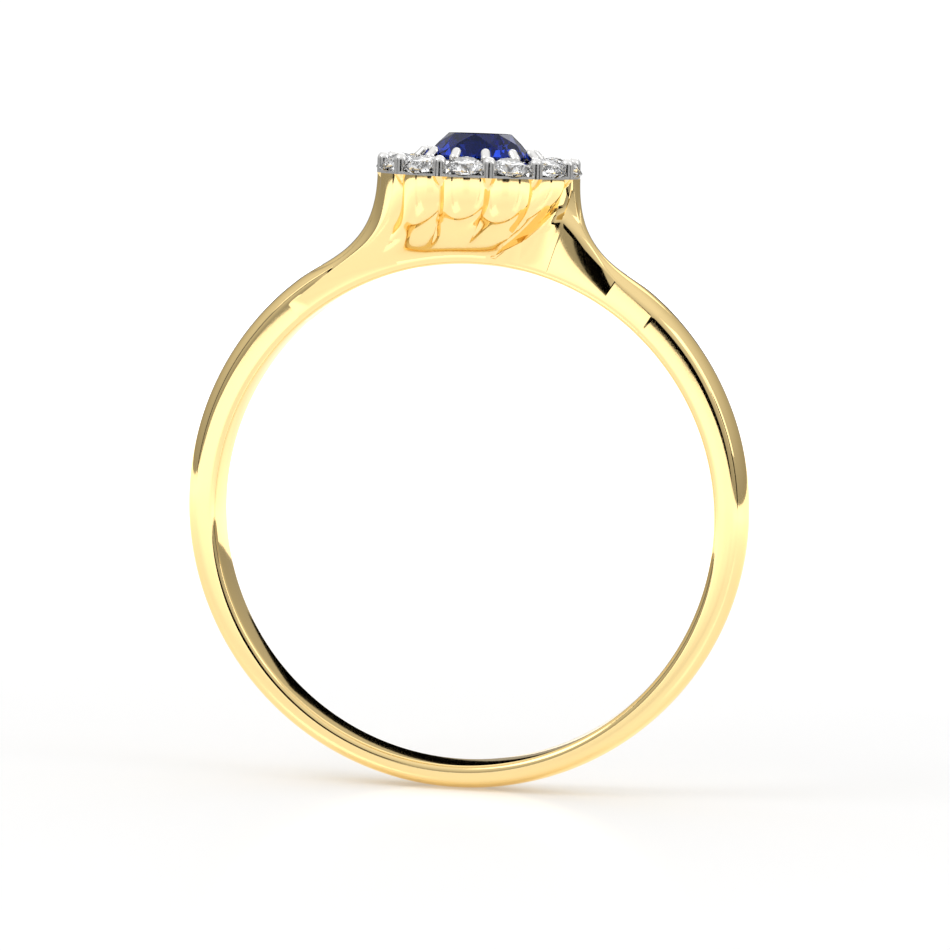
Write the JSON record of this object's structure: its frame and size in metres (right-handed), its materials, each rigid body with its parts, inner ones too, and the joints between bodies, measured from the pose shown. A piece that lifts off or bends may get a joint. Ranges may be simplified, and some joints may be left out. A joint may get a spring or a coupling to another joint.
{
  "type": "engagement ring",
  "caption": "Gold cluster ring: swirl shoulders pass each other under a fluted gallery, with a round blue stone in a tilted halo of small white stones.",
  "frame": {"origin": "centre of the finger hole", "axes": "+Z from the finger hole through the centre stone, +Y along the finger away from the viewer, +X to the right"},
  "size_m": [0.0192, 0.007, 0.0222],
  "materials": {
    "yellow_gold": "mirror polished 14 carat yellow gold",
    "white_gold": "rhodium plated white gold, polished",
    "sapphire": "faceted and polished blue corundum",
    "diamond": "faceted and polished white stone"
  },
  "bodies": {
    "root": {"shank": "yellow_gold", "front_arm": "yellow_gold", "back_arm": "yellow_gold", "halo_seat": "white_gold", "centre_collet": "white_gold", "sapphire": "sapphire", "outer_claw_01": "white_gold", "outer_claw_02": "white_gold", "outer_claw_03": "white_gold", "outer_claw_04": "white_gold", "outer_claw_05": "white_gold", "outer_claw_06": "white_gold", "outer_claw_07": "white_gold", "outer_claw_08": "white_gold", "outer_claw_09": "white_gold", "outer_claw_10": "white_gold", "outer_claw_11": "white_gold", "outer_claw_12": "white_gold", "inner_claw_01": "white_gold", "inner_claw_02": "white_gold", "inner_claw_03": "white_gold", "inner_claw_04": "white_gold", "inner_claw_05": "white_gold", "inner_claw_06": "white_gold", "inner_claw_07": "white_gold", "inner_claw_08": "white_gold", "inner_claw_09": "white_gold", "inner_claw_10": "white_gold", "inner_claw_11": "white_gold", "inner_claw_12": "white_gold", "halo_diamond_01": "diamond", "halo_diamond_02": "diamond", "halo_diamond_03": "diamond", "halo_diamond_04": "diamond", "halo_diamond_05": "diamond", "halo_diamond_06": "diamond", "halo_diamond_07": "diamond", "halo_diamond_08": "diamond", "halo_diamond_09": "diamond", "halo_diamond_10": "diamond", "halo_diamond_11": "diamond", "halo_diamond_12": "diamond"}
  },
  "joints": []
}
